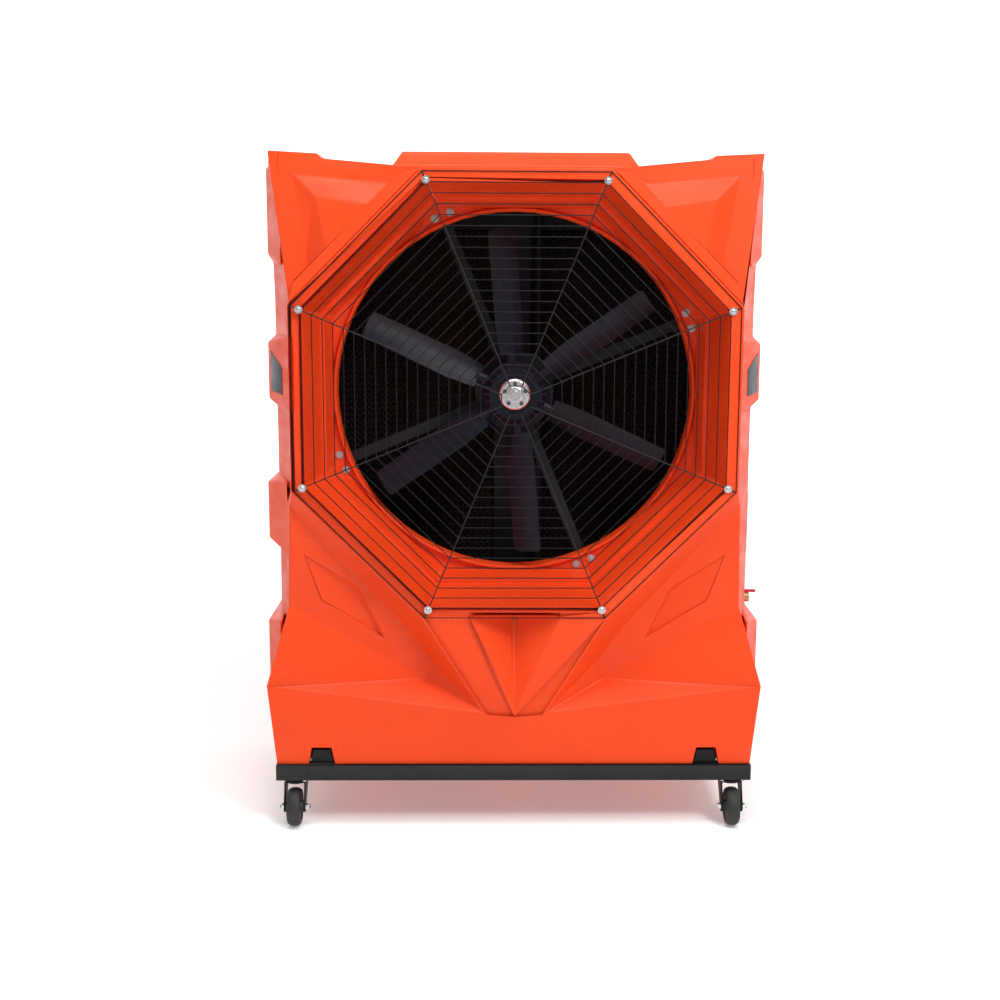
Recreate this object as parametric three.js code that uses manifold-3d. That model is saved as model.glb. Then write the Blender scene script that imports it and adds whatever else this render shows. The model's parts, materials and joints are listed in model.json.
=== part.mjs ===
// Portable evaporative cooler: a rotomoulded housing with an octagonal air outlet, on a castored frame.
// Millimetres, +Z up, the air outlet faces -Y. Coordinates are written from the rim plane of the outlet
// (y = 0) and from the floor (z = 0); at the end the cooler is centred on its own footprint.
import * as THREE from 'three';
import { ConvexGeometry } from 'three/addons/geometries/ConvexGeometry.js';
import { mergeVertices } from 'three/addons/utils/BufferGeometryUtils.js';
import Module from 'manifold-3d';

const wasm = await Module();
wasm.setup();

// ---- driving dimensions ----
const GAP = 0.3; // between touching pieces
const AXIS_Z = 1122; // fan axis above the floor
const RIM_APOTHEM = 562; // outer edge of the octagonal rim
const MOUTH_APOTHEM = 528; // inner edge of the rim
const NOZZLE_DEPTH = 235; // rim plane to fan ring
const SEAM_APOTHEM = 541; // split between the duct and the body
const FAN_HOLE_R = 468;
const WALL = 8; // rotomoulded wall
const TOP_Z = 1735; // crown of the roof
const REAR_Y = 760; // rear face of the housing
const FLARE_Y = 190; // the side walls run straight back from here
const SIDE_X = 620; // side wall between the raised blocks
const FRAME = { halfX: 618, front: 6, rear: 766, bottom: 130, tube: 40, wall: 3 };
const BASE_Z = FRAME.bottom + FRAME.tube; // underside of the housing
const CASTER = { x: 574, frontY: 62, rearY: 708, trail: 32, wheelR: 50, tread: 34 };
const FAN = { y: 205, tipR: 425, rootR: 70, blades: 6, chordRoot: 92, chordTip: 76 };
const GUARD = { rings: 21, first: 36, pitch: 25.95, wire: 3, spoke: 4.2, thick: 3 };
const PAD = { front: 646.5, rear: 746.5, bottom: 357.5, top: 1580, inner: 30.5, outer: 559.5 };
const PAD_FRAME = { halfX: 571.5, bottom: 345.5, top: 1649.5, front: 640, rear: 764, wall: 11.5 };
const INLET = { y: 230, z: 568 };
const GLAND = { x: 596, z: 700 };
const DRAIN_Z = 205;
const HEADER = { y: 696, z: 1606, r: 18 };
const RISER = { x: 75, y: 612, r: 12, foot: 296 };
const LEVER = { x: 630, lift: 14.3 };
const PANEL = { y: 307, z: 781, halfY: 84, halfZ: 67, floorX: 598 };

// ---- materials ----
const paint = (color, roughness, metalness = 0) =>
  new THREE.MeshStandardMaterial({ color, roughness, metalness });
const ORANGE = paint(0xef4b22, 0.45);
const BLACK_PAINT = paint(0x17191c, 0.5, 0.3);
const BLACK_PLASTIC = paint(0x1d2126, 0.45);
const RUBBER = paint(0x2a2f36, 0.7);
const ZINC = paint(0xb9bec4, 0.35, 0.9);
const STEEL = paint(0xc8ccd0, 0.3, 0.9);
const BRASS = paint(0x9a8450, 0.4, 0.8);
const RED = paint(0xc4182a, 0.4);
const PAD_BROWN = paint(0x3b2a1c, 0.95);
const PIPE_WHITE = paint(0xd8d8d2, 0.5);
const MOTOR_GREY = paint(0x50565c, 0.5, 0.4);

// ---- solid helpers ----
function solid(geometry) {
  const g = geometry.clone();
  g.deleteAttribute('normal');
  g.deleteAttribute('uv');
  const merged = mergeVertices(g, 1e-4);
  const kept = [];
  for (let i = 0; i < merged.index.count; i += 3) {
    const [a, b, c] = [0, 1, 2].map((k) => merged.index.getX(i + k));
    if (a !== b && b !== c && c !== a) kept.push(a, b, c);
  }
  return new wasm.Manifold(
    new wasm.Mesh({
      numProp: 3,
      vertProperties: new Float32Array(merged.attributes.position.array),
      triVerts: new Uint32Array(kept),
    }),
  );
}

function geometryOf(manifold) {
  const mesh = manifold.getMesh();
  const g = new THREE.BufferGeometry();
  g.setAttribute('position', new THREE.BufferAttribute(new Float32Array(mesh.vertProperties), 3));
  g.setIndex(new THREE.BufferAttribute(new Uint32Array(mesh.triVerts), 1));
  return g;
}

const join = (...parts) => parts.reduce((whole, part) => whole.add(part));
const cut = (whole, ...tools) => tools.reduce((rest, tool) => rest.subtract(tool), whole);
const vector = ([x, y, z]) => new THREE.Vector3(x, y, z);
const hull = (...points) => {
  const numbers = points.flat(Infinity);
  const count = numbers.length / 3;
  const corners = Array.from({ length: count }, (_, i) => vector(numbers.slice(3 * i, 3 * i + 3)));
  return solid(new ConvexGeometry(corners));
};
const mirrorX = ([x, y, z]) => [-x, y, z];

function box(x0, x1, y0, y1, z0, z1) {
  const g = new THREE.BoxGeometry(x1 - x0, y1 - y0, z1 - z0);
  g.translate((x0 + x1) / 2, (y0 + y1) / 2, (z0 + z1) / 2);
  return solid(g);
}

// A turned solid about the named axis: profile points are [radius, along].
function turned(profile, axis = 'y', segments = 24) {
  const outline = [...profile, profile[0]].map(([r, a]) => new THREE.Vector2(r, a));
  const g = new THREE.LatheGeometry(outline, segments);
  if (axis === 'x') g.rotateZ(-Math.PI / 2);
  if (axis === 'z') g.rotateX(Math.PI / 2);
  const made = solid(g);
  return made.volume() > 0 ? made : solid(flipped(g));
}

function flipped(geometry) {
  const g = geometry.clone();
  const index = g.index.array;
  for (let i = 0; i < index.length; i += 3) [index[i], index[i + 1]] = [index[i + 1], index[i]];
  return g;
}

const rod = (radius, from, to, axis, segments = 16) =>
  turned([[0, from], [radius, from], [radius, to], [0, to]], axis, segments);

// A flat outline [a, b] extruded along X, with a = y and b = z.
function slabX(outline, x0, x1) {
  const shape = new THREE.Shape(outline.map(([a, b]) => new THREE.Vector2(a, b)));
  const g = new THREE.ExtrudeGeometry(shape, { depth: x1 - x0, bevelEnabled: false });
  g.applyMatrix4(new THREE.Matrix4().makeBasis(vector([0, 1, 0]), vector([0, 0, 1]), vector([1, 0, 0])));
  g.translate(x0, 0, 0);
  return solid(g);
}

function arc(cx, cy, r, fromDeg, toDeg, steps) {
  return Array.from({ length: steps + 1 }, (_, i) => {
    const a = THREE.MathUtils.degToRad(fromDeg + ((toDeg - fromDeg) * i) / steps);
    return [cx + r * Math.cos(a), cy + r * Math.sin(a)];
  });
}

const octagonCorner = (apothem, k) => {
  const a = THREE.MathUtils.degToRad(22.5 + 45 * k);
  const r = apothem / Math.cos(Math.PI / 8);
  return [r * Math.cos(a), r * Math.sin(a)];
};

function octagonRing(y, apothem) {
  return Array.from({ length: 8 }, (_, k) => {
    const [x, z] = octagonCorner(apothem, k);
    return [x, y, AXIS_Z + z];
  });
}

const meshes = [];
function piece(name, shape, material, position = [0, 0, 0]) {
  const geometry = shape instanceof THREE.BufferGeometry ? shape : geometryOf(shape);
  const mesh = new THREE.Mesh(geometry, material.clone());
  mesh.name = name;
  mesh.position.set(...position);
  meshes.push(mesh);
  return mesh;
}

// ---- housing ----
// Front skin of the right half, as named corners. Heights are measured from the fan axis.
const wingPlane = (x, dz) => 28 + 0.1 * ((x + dz) / Math.SQRT2 - RIM_APOTHEM);
const cheekPlane = (x, dz) => 30 + 0.031 * (x - 574) - 0.11 * (dz + 262);
const onWing = (x, dz) => [x, wingPlane(x, dz), dz];
const onCheek = (x, dz) => [x, cheekPlane(x, dz), dz];
const BOTTOM = BASE_Z + GAP - AXIS_Z;
const [CORNER_FAR, CORNER_NEAR] = octagonCorner(RIM_APOTHEM, 0);
const BAND_FOOT_Y = 16; // the tank front leans back to here at its foot

const corner = {
  rimTop: [0, 0, RIM_APOTHEM],
  rimUpper: [CORNER_NEAR, 0, CORNER_FAR],
  rimRight: [CORNER_FAR, 0, CORNER_NEAR],
  rimLow: [CORNER_FAR, 0, -CORNER_NEAR],
  rimBase: [CORNER_NEAR, 0, -CORNER_FAR],
  rimBottom: [0, 0, -RIM_APOTHEM],
  roofMid: [0, 3, 569],
  roofInner: [CORNER_NEAR, 3, 569],
  roofStep: onWing(CORNER_NEAR, 569),
  roofHump: onWing(305, 571),
  roofPadLow: onWing(479, 586),
  roofPad: onWing(486, 598),
  wingTip: onWing(610, 605),
  wingJoint: onWing(CORNER_NEAR, CORNER_FAR),
  shoulder: onWing(CORNER_FAR, CORNER_NEAR),
  hip: [CORNER_FAR, 26, -CORNER_NEAR],
  cheekTop: onCheek(572, -269),
  cheekFoot: onCheek(582, -535),
  cheekFold: onCheek(285, -592),
  cheekKnee: onCheek(224, -676),
  cheekRidge: onCheek(229, -738),
  tankCorner: [611, 0, -738],
  chinSide: [80, 0, -807],
  chinMid: [0, 0, -818],
  footSide: [616, BAND_FOOT_Y, BOTTOM],
  footMid: [0, BAND_FOOT_Y, BOTTOM],
  sideTop: [628, FLARE_Y, 605],
  sideShoulder: [SIDE_X, FLARE_Y, CORNER_NEAR],
  sideHip: [SIDE_X, FLARE_Y, -CORNER_NEAR],
  sideCheek: [SIDE_X, FLARE_Y, -535],
  sideTank: [628, FLARE_Y, -738],
  sideFoot: [630, FLARE_Y, BOTTOM],
};

// Facets as corner names, anticlockwise seen from the front; each fans out from its first corner.
const FACETS = [
  'rimTop rimBottom rimBase rimLow rimRight rimUpper',
  'roofMid rimTop rimUpper roofInner',
  'roofInner rimUpper wingJoint roofStep',
  'rimUpper rimRight shoulder wingJoint',
  'shoulder wingTip roofPad roofPadLow roofHump roofStep wingJoint',
  'rimRight rimLow hip shoulder',
  'shoulder sideShoulder sideTop wingTip',
  'shoulder hip sideHip sideShoulder',
  'rimLow rimBase cheekFold',
  'rimLow cheekFold cheekTop',
  'rimLow cheekTop hip',
  'rimBase cheekKnee cheekFold',
  'rimBase chinSide cheekKnee',
  'rimBase rimBottom chinMid chinSide',
  'cheekFold cheekKnee cheekRidge cheekFoot cheekTop',
  'cheekKnee chinSide cheekRidge',
  'cheekRidge chinSide tankCorner cheekFoot',
  'footMid footSide tankCorner chinSide chinMid',
  'hip cheekTop sideHip',
  'cheekTop cheekFoot sideCheek sideHip',
  'cheekFoot tankCorner sideTank sideCheek',
  'tankCorner footSide sideFoot sideTank',
].map((row) => row.split(' '));

// Edge of the skin, anticlockwise seen from the front, from the middle of the foot to the middle of the roof.
const SKIN_EDGE = (
  'footMid footSide sideFoot sideTank sideCheek sideHip sideShoulder sideTop wingTip ' +
  'roofPad roofPadLow roofHump roofStep roofInner roofMid'
).split(' ');

// The skin closed straight back to rearY. A positive inset draws the same form inside the wall.
function skinSolid(inset, rearY) {
  const at = (name) => {
    const [x, y, dz] = corner[name];
    const z = AXIS_Z + dz;
    const inX = x > 540 || (x === CORNER_NEAR && dz > 540) ? x - inset : x;
    if (dz > 540) return [inX, y + inset, z - inset];
    if (dz < BOTTOM + 1) return [inX, y + inset, z + inset];
    return [inX, y + inset, z];
  };
  const triangles = [];
  const fan = (points) => {
    for (let i = 1; i + 1 < points.length; i += 1) {
      triangles.push([points[0], points[i], points[i + 1]]);
      triangles.push([points[0], points[i + 1], points[i]].map(mirrorX));
    }
  };
  FACETS.forEach((names) => fan(names.map(at)));
  const edge = SKIN_EDGE.map(at);
  const back = edge.map(([x, , z]) => [x, rearY, z]);
  for (let i = 0; i + 1 < edge.length; i += 1) fan([edge[i + 1], edge[i], back[i], back[i + 1]]);
  const outline = back.map(([x, , z]) => new THREE.Vector2(x, z));
  THREE.ShapeUtils.triangulateShape(outline, []).forEach(([a, b, c]) => fan([back[a], back[c], back[b]]));
  const g = new THREE.BufferGeometry();
  g.setAttribute('position', new THREE.Float32BufferAttribute(triangles.flat(2), 3));
  return solid(g);
}

// A raised block on one side wall, chamfered all round, its front face running out along the flare.
function sideBlock(side, block, inset) {
  const { x, bottom, top, drop, front, rear } = block;
  const outer = x - inset;
  const foot = SIDE_X - 2 - inset;
  const ends = (px, y0, y1, low, high) =>
    [[px, y0, low], [px, y0, high], [px, y1, low], [px, y1, high]];
  const points = [
    ...ends(outer, FLARE_Y + inset, rear - inset, bottom + inset, top - inset),
    ...ends(foot, FLARE_Y + inset, rear + 30 - inset, bottom - drop, top + drop),
    ...ends(540, FLARE_Y, rear, bottom, top),
    [front[0] - inset, front[1] + inset, bottom - drop],
    [front[0] - inset, front[1] + inset, top + drop],
  ];
  return hull(points.map(([px, py, pz]) => [side * px, py, pz]));
}

const BLOCKS = [
  { sides: [-1, 1], x: 636, bottom: 1478, top: 1690, drop: 26, front: [583, 50], rear: 560 },
  { sides: [-1, 1], x: 641, bottom: 1108, top: 1254, drop: 20, front: [566, 32], rear: 600 },
  { sides: [-1], x: 649, bottom: 738, top: 888, drop: 20, front: [582, 60], rear: 520 },
  { sides: [-1, 1], x: 656, bottom: 276, top: 514, drop: 30, front: [606, 62], rear: 600 },
];

function hump(inset) {
  const ring = (halfX, y0, y1, z) =>
    [[-halfX, y0, z], [halfX, y0, z], [-halfX, y1, z], [halfX, y1, z]].map(([x, y]) =>
      [x - Math.sign(x) * inset, y + (y < 400 ? inset : -inset), z - inset]);
  return hull(ring(322, 130, 700, 1680), ring(288, 170, 660, TOP_Z));
}

// Raised triangle on each wing, with the level strip beside the outlet that it runs into.
function wingRelief() {
  const lift = (x, dz) => [x, wingPlane(x, dz) - 26, AXIS_Z + dz];
  const base = (x, dz) => [x, wingPlane(x, dz) + 4, AXIS_Z + dz];
  const triangle = hull(
    lift(490, 493), lift(464, 369), lift(356, 473), base(558, 557), base(520, 320), base(304, 534),
  );
  const strip = hull(
    lift(560, 236), lift(236, 560), lift(292, 545), lift(545, 292),
    base(560, 236), base(236, 560), base(294, 547), base(547, 294),
  );
  return join(triangle, strip);
}

// Sunk rhombus on each cheek: deep beside the outlet, running out to nothing at its outer side.
function cheekRecess(inset) {
  const grow = 1 + inset / 120;
  const edge = (x, dz, depth) => {
    const [px, pz] = [444 + (x - 444) * grow, -508 + (dz + 508) * grow];
    return [px, cheekPlane(px, pz) + depth, AXIS_Z + pz];
  };
  return hull(
    edge(546, -394, -3), edge(398, -486, -3), edge(333, -629, -3), edge(499, -520, -3),
    edge(532, -408, 5 + inset), edge(410, -497, 16 + inset), edge(352, -615, 10 + inset),
    edge(494, -521, 1 + inset),
  );
}

// V groove under the outlet, deepest beneath the rim and running out at the chin.
function chinGroove(inset) {
  const top = AXIS_Z - 551 + inset;
  return hull(
    [-128 - inset, -6, top], [128 + inset, -6, top],
    [-8 - inset, 78 + inset, top], [8 + inset, 78 + inset, top],
    [0, -6, AXIS_Z - 812 - inset], [0, inset, AXIS_Z - 806],
  );
}

function tieDownNotch(side, inset) {
  const centre = 500;
  const ring = (half, z) => [
    [side * (centre - half - inset), -10, z], [side * (centre + half + inset), -10, z],
    [side * (centre - half - inset), 56 + inset, z], [side * (centre + half + inset), 56 + inset, z],
  ];
  return hull(ring(36, BASE_Z - 10), ring(25, BASE_Z + 46 + inset));
}

function nozzle(inset) {
  const mouth = inset > 0 ? 1 : -5;
  return join(
    hull(octagonRing(mouth, MOUTH_APOTHEM + 1 + inset), octagonRing(150 + inset, 499 + inset)),
    hull(octagonRing(149.9, 489 + inset), octagonRing(NOZZLE_DEPTH + inset, 476 + inset)),
  );
}

function fanRingLip() {
  const [r, thick] = [FAN_HOLE_R, 11];
  const profile = [
    [r, 228], [r + 3, 222], [r + thick - 3, 222], [r + thick, 228], [r + thick, 272], [r, 272],
  ];
  return turned(profile, 'y', 64).translate([0, 0, AXIS_Z]);
}

function wallOpenings() {
  const { y, z, halfY, halfZ } = PANEL;
  return [
    box(-572, 572, REAR_Y - 60, REAR_Y + 10, 345, 1650),
    box(560, 680, y - halfY, y + halfY, z - halfZ, z + halfZ),
    rod(14, 560, 680, 'x', 12).translate([0, INLET.y, INLET.z]),
    rod(9, REAR_Y - 60, REAR_Y + 10, 'y', 12).translate([GLAND.x, 0, GLAND.z]),
    rod(12, REAR_Y - 60, REAR_Y + 10, 'y', 12).translate([0, 0, DRAIN_Z]),
    ...screwPlaces().map(([sx, sz]) => rod(4, -20, 40, 'y', 8).translate([sx, 0, sz])),
  ];
}

// The whole moulding: outer skin, inner cavity, duct and the holes through its walls.
function makeMoulding() {
  const blocks = (inset) => BLOCKS.flatMap((b) => b.sides.map((side) => sideBlock(side, b, inset)));
  const hollows = (inset) => {
    const recess = cheekRecess(inset);
    const notches = [tieDownNotch(1, inset), tieDownNotch(-1, inset)];
    return [recess, recess.mirror([1, 0, 0]), chinGroove(inset), ...notches];
  };
  const relief = wingRelief();
  const outer = join(skinSolid(0, REAR_Y), relief, relief.mirror([1, 0, 0]), hump(0), ...blocks(0));
  const inner = join(skinSolid(WALL, REAR_Y - WALL), hump(WALL), ...blocks(WALL));
  const shell = cut(outer, ...hollows(0), cut(inner, ...hollows(WALL)));
  const fanHole = rod(FAN_HOLE_R + 1, 200, 300, 'y', 64).translate([0, 0, AXIS_Z]);
  const duct = join(cut(nozzle(WALL), nozzle(0), fanHole), fanRingLip());
  return cut(join(cut(shell, nozzle(0)), duct), ...wallOpenings());
}

// The moulding is split on the flat of the rim: the duct inside the seam, the body outside it.
const withinSeam = (apothem) => hull(octagonRing(-10, apothem), octagonRing(320, apothem));

// ---- air guard ----
const SCREW_R = 578;
function screwPlaces() {
  return Array.from({ length: 8 }, (_, k) => {
    const a = THREE.MathUtils.degToRad(22.5 + 45 * k);
    return [SCREW_R * Math.cos(a), AXIS_Z + SCREW_R * Math.sin(a)];
  });
}

// Concentric octagons of wire joined by eight spokes, with an eyelet at each screw.
function makeGuard() {
  const apothem = (i) => GUARD.first + GUARD.pitch * i;
  const corners = (a) => Array.from({ length: 8 }, (_, k) => new THREE.Vector2(...octagonCorner(a, k)));
  const shape = new THREE.Shape(corners(apothem(GUARD.rings - 1) + GUARD.wire / 2));
  shape.holes.push(new THREE.Path(corners(GUARD.first - GUARD.wire / 2)));
  const besideSpoke = (ring, k, towards) => {
    const [from, to] = [ring[k % 8].clone(), ring[towards % 8].clone()];
    return from.add(to.sub(from).setLength(GUARD.spoke / 2 / Math.cos(Math.PI / 8)));
  };
  for (let i = 0; i + 1 < GUARD.rings; i += 1) {
    const inner = corners(apothem(i) + GUARD.wire / 2);
    const outer = corners(apothem(i + 1) - GUARD.wire / 2);
    for (let k = 0; k < 8; k += 1) {
      shape.holes.push(new THREE.Path([
        besideSpoke(inner, k, k + 1), besideSpoke(inner, k + 1, k),
        besideSpoke(outer, k + 1, k), besideSpoke(outer, k, k + 1),
      ]));
    }
  }
  const g = new THREE.ExtrudeGeometry(shape, { depth: GUARD.thick, bevelEnabled: false });
  g.rotateX(Math.PI / 2);
  g.translate(0, -GAP, AXIS_Z);
  const at = ([x, z], r, y0, y1) => rod(r, y0, y1, 'y', 8).translate([x, 0, z]);
  const eyelets = screwPlaces().map((place) => at(place, 8, -GAP - GUARD.thick, -GAP));
  const holes = screwPlaces().map((place) => at(place, 3.6, -10, 10));
  return cut(join(solid(g), ...eyelets), ...holes);
}

function makeGuardScrew() {
  const seat = -2 * GAP - GUARD.thick; // front of the wires
  return join(
    rod(11, seat - 1.8, seat, 'y', 16),
    rod(6.5, seat - 5, seat - 1.7, 'y', 12),
    rod(3, seat - 1, 22, 'y', 8),
  );
}

// ---- base frame ----
function makeFrame() {
  const { halfX, front, rear, bottom, tube, wall } = FRAME;
  const top = bottom + tube;
  const rails = (shrink) => [
    box(-halfX + shrink, halfX - shrink, front + shrink, front + tube - shrink, bottom + shrink, top - shrink),
    box(-halfX + shrink, halfX - shrink, rear - tube + shrink, rear - shrink, bottom + shrink, top - shrink),
    ...[-halfX + tube / 2, -tube / 2 - 190, tube / 2 + 190, halfX - tube / 2].map((x) =>
      box(x - tube / 2 + shrink, x + tube / 2 - shrink, front + shrink, rear - shrink, bottom + shrink, top - shrink)),
  ];
  const drain = 6;
  const drains = [-300, 300].map((x) =>
    box(x - drain, x + drain, front + tube / 2 - drain, front + tube / 2 + drain, bottom - 5, bottom + 10));
  return cut(join(...rails(0)), join(...rails(wall)), ...drains);
}

function makeHoldDown() {
  const ring = (half, z) => [[-half, 24, z], [half, 24, z], [-half, 54, z], [half, 54, z]];
  return hull(ring(31, BASE_Z + GAP), ring(22, BASE_Z + 38));
}

// ---- casters, drawn about the swivel axis with z = 0 at the underside of the frame ----
const AXLE_DROP = FRAME.bottom - CASTER.wheelR;
const RACE_Z = -14; // underside of the fixed race
function makeCasterPlate() {
  return join(
    box(-35, 35, -45, 45, -3.5 - GAP, -GAP),
    turned([[0, -2], [30, -2], [30, -9], [24, RACE_Z], [0, RACE_Z]], 'z', 20),
  );
}

function makeCasterFork() {
  const leg = [[-22, -17.5], ...arc(-CASTER.trail, -AXLE_DROP, 15, 180, 335, 6), [24, -36], [24, -17.5]];
  const bore = rod(6.5, -40, 40, 'x', 12).translate([0, -CASTER.trail, -AXLE_DROP]);
  const yoke = join(
    turned([[0, RACE_Z - GAP], [29, RACE_Z - GAP], [29, -20], [0, -20]], 'z', 20),
    box(-28, 28, -22, 24, -20, -17),
    slabX(leg, -28, -24),
    slabX(leg, 24, 28),
  );
  return cut(yoke, bore);
}

function makeWheel() {
  const half = CASTER.tread / 2;
  const r = CASTER.wheelR;
  return turned([
    [6.5, -23], [15, -23], [17, -14], [33, -14], [37, -half], [r - 6, -half], [r - 1.5, 6 - half], [r, -4],
    [r, 4], [r - 1.5, half - 6], [r - 6, half], [37, half], [33, 14], [17, 14], [15, 23], [6.5, 23],
  ], 'x', 32);
}

const makeAxle = () =>
  join(rod(6, -33, 37, 'x', 12), rod(10, -34, -28 - GAP, 'x', 6), rod(9, 28 + GAP, 35, 'x', 6));

// ---- fan, drawn about its own axis with y = 0 in the blade plane ----
const HUB = { r: 84, halfDepth: 34, bore: 22, capR: 41 };
const MOUNT = { seat: NOZZLE_DEPTH + WALL + GAP, front: 273, rear: 279, reach: 500, plateR: 105 };
const MOTOR = { front: MOUNT.rear + GAP, rear: 455, r: 92 };
const bladeAngle = (i) => 95 + (360 / FAN.blades) * i;

function makeHubHalf(sign) {
  const rim = turned([
    [HUB.bore, sign * GAP], [HUB.r, sign * GAP], [HUB.r, sign * 12], [66, sign * HUB.halfDepth],
    [HUB.bore, sign * HUB.halfDepth],
  ], 'y', 36);
  const socket = (_, i) => rod(15, 44, 100, 'x', 10).rotate([0, -bladeAngle(i), 0]);
  return cut(rim, ...Array.from({ length: FAN.blades }, socket));
}

// Twisted paddle along +X, from the round plug in the hub to the tip.
function makeBlade() {
  const foil = [[-0.5, 1], [-0.2, 5], [0.15, 5.5], [0.5, 1], [0.5, -1], [0.15, 2], [-0.2, 1.5], [-0.5, -1]];
  const rings = [[104, 0.8], [180, 1], [290, 1], [FAN.tipR - 8, 1], [FAN.tipR, 0.86]].map(([r, fill]) => {
    const t = (r - FAN.rootR) / (FAN.tipR - FAN.rootR);
    const chord = THREE.MathUtils.lerp(FAN.chordRoot, FAN.chordTip, t) * fill;
    const pitch = THREE.MathUtils.degToRad(THREE.MathUtils.lerp(38, 24, t));
    const [sin, cos] = [Math.sin(pitch), Math.cos(pitch)];
    return foil.map(([c, h]) => [r, -h * cos - c * chord * sin, c * chord * cos - h * sin]);
  });
  return join(loft(rings), rod(14.4, 46, 112, 'x', 10));
}

// A solid through successive rings of points; each ring runs out along one side and back along the other.
function loft(rings) {
  const count = rings[0].length;
  const index = [];
  const quad = (p, q, r, t) => index.push(p, q, r, p, r, t);
  for (let s = 0; s + 1 < rings.length; s += 1) {
    for (let j = 0; j < count; j += 1) {
      const k = (j + 1) % count;
      quad(s * count + j, s * count + k, (s + 1) * count + k, (s + 1) * count + j);
    }
  }
  const last = (rings.length - 1) * count;
  for (let j = 0; j + 1 < count / 2; j += 1) {
    const [k, m, n] = [j + 1, count - 2 - j, count - 1 - j];
    quad(k, j, n, m);
    quad(last + j, last + k, last + m, last + n);
  }
  const g = new THREE.BufferGeometry();
  g.setAttribute('position', new THREE.Float32BufferAttribute(rings.flat(2), 3));
  g.setIndex(index);
  const made = solid(g);
  return made.volume() > 0 ? made : solid(flipped(g));
}

function makeHubCap() {
  const front = -HUB.halfDepth - GAP;
  return turned([
    [11, front], [HUB.capR, front], [HUB.capR, front - 8], [36, front - 12], [20, front - 12],
    [18, front - 17], [11, front - 17],
  ], 'y', 30);
}

function makeShaft() {
  const motor = MOTOR.front - FAN.y;
  return join(
    rod(10.7, -HUB.halfDepth - 19, -20, 'y', 16),
    rod(HUB.bore - GAP, -HUB.halfDepth, HUB.halfDepth, 'y', 36),
    rod(12, 20, motor + 36, 'y', 20),
  );
}

// Four arms behind the fan ring, meeting in a plate that carries the motor.
function makeMotorMount() {
  const { seat, front, rear, reach, plateR } = MOUNT;
  const arm = join(
    box(60, reach, front, rear, -14, 14),
    box(112, reach, rear - 1, rear + 8, 10, 14),
    box(FAN_HOLE_R + 12, reach, seat, rear, -30, 30),
  );
  const arms = [0, 1, 2, 3].map((k) => arm.rotate([0, -(22.5 + 90 * k), 0]));
  const body = join(rod(plateR, front, rear, 'y', 32), ...arms);
  return cut(body, rod(HUB.bore, front - 5, rear + 5, 'y', 24)).translate([0, 0, AXIS_Z]);
}

function makeMotor() {
  const { front, rear, r } = MOTOR;
  const shell = turned([
    [12.4, front], [70, front], [r, front + 14], [r, rear - 14], [70, rear], [0, rear], [0, front + 40],
    [12.4, front + 40],
  ], 'y', 24);
  const fins = Array.from({ length: 12 }, (_, i) =>
    box(-3, 3, front + 24, rear - 24, r - 6, r + 8).rotate([0, i * 30, 0]));
  return join(shell, ...fins).translate([0, 0, AXIS_Z]);
}

// ---- wet side ----
function makePadFrame() {
  const { halfX, bottom, top, front, rear, wall } = PAD_FRAME;
  const lip = 24;
  const inside = halfX - wall;
  const post = PAD.inner - 0.5;
  const [low, high] = [bottom + wall, top - wall];
  const tray = (x0, x1) => [
    box(x0, x1, front + 6, rear + 5, low, high),
    box(x0 + lip, x1 - lip, front - 5, rear + 5, low + lip, PAD.top - lip),
  ];
  return cut(
    box(-halfX, halfX, front, rear, bottom, top),
    ...tray(-inside, -post), ...tray(post, inside),
    box(-inside, inside, 749, rear + 5, low, high),
    box(-inside, inside, front + 6, rear + 5, PAD.top + GAP, high),
    box(RISER.x - 14, RISER.x + 14, front - 5, front + 10, HEADER.z - 14, HEADER.z + 14),
  );
}

const makePad = (side) =>
  side > 0 ? box(PAD.inner, PAD.outer, PAD.front, PAD.rear, PAD.bottom, PAD.top)
    : box(-PAD.outer, -PAD.inner, PAD.front, PAD.rear, PAD.bottom, PAD.top);

// Flat grille of bars behind the pads.
function makeRearGrille() {
  const halfX = PAD_FRAME.halfX - PAD_FRAME.wall - GAP;
  const low = PAD_FRAME.bottom + PAD_FRAME.wall + GAP;
  const high = PAD_FRAME.top - PAD_FRAME.wall - GAP;
  return lattice(edges(-halfX, halfX, 10, 6), edges(low, high, 5, 6), 749.3, 753.3);
}

// Both edges of count + 1 evenly spaced bars.
function edges(from, to, count, bar) {
  const starts = Array.from({ length: count + 1 }, (_, i) => from + ((to - from - bar) * i) / count);
  return starts.flatMap((start) => [start, start + bar]);
}

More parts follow.
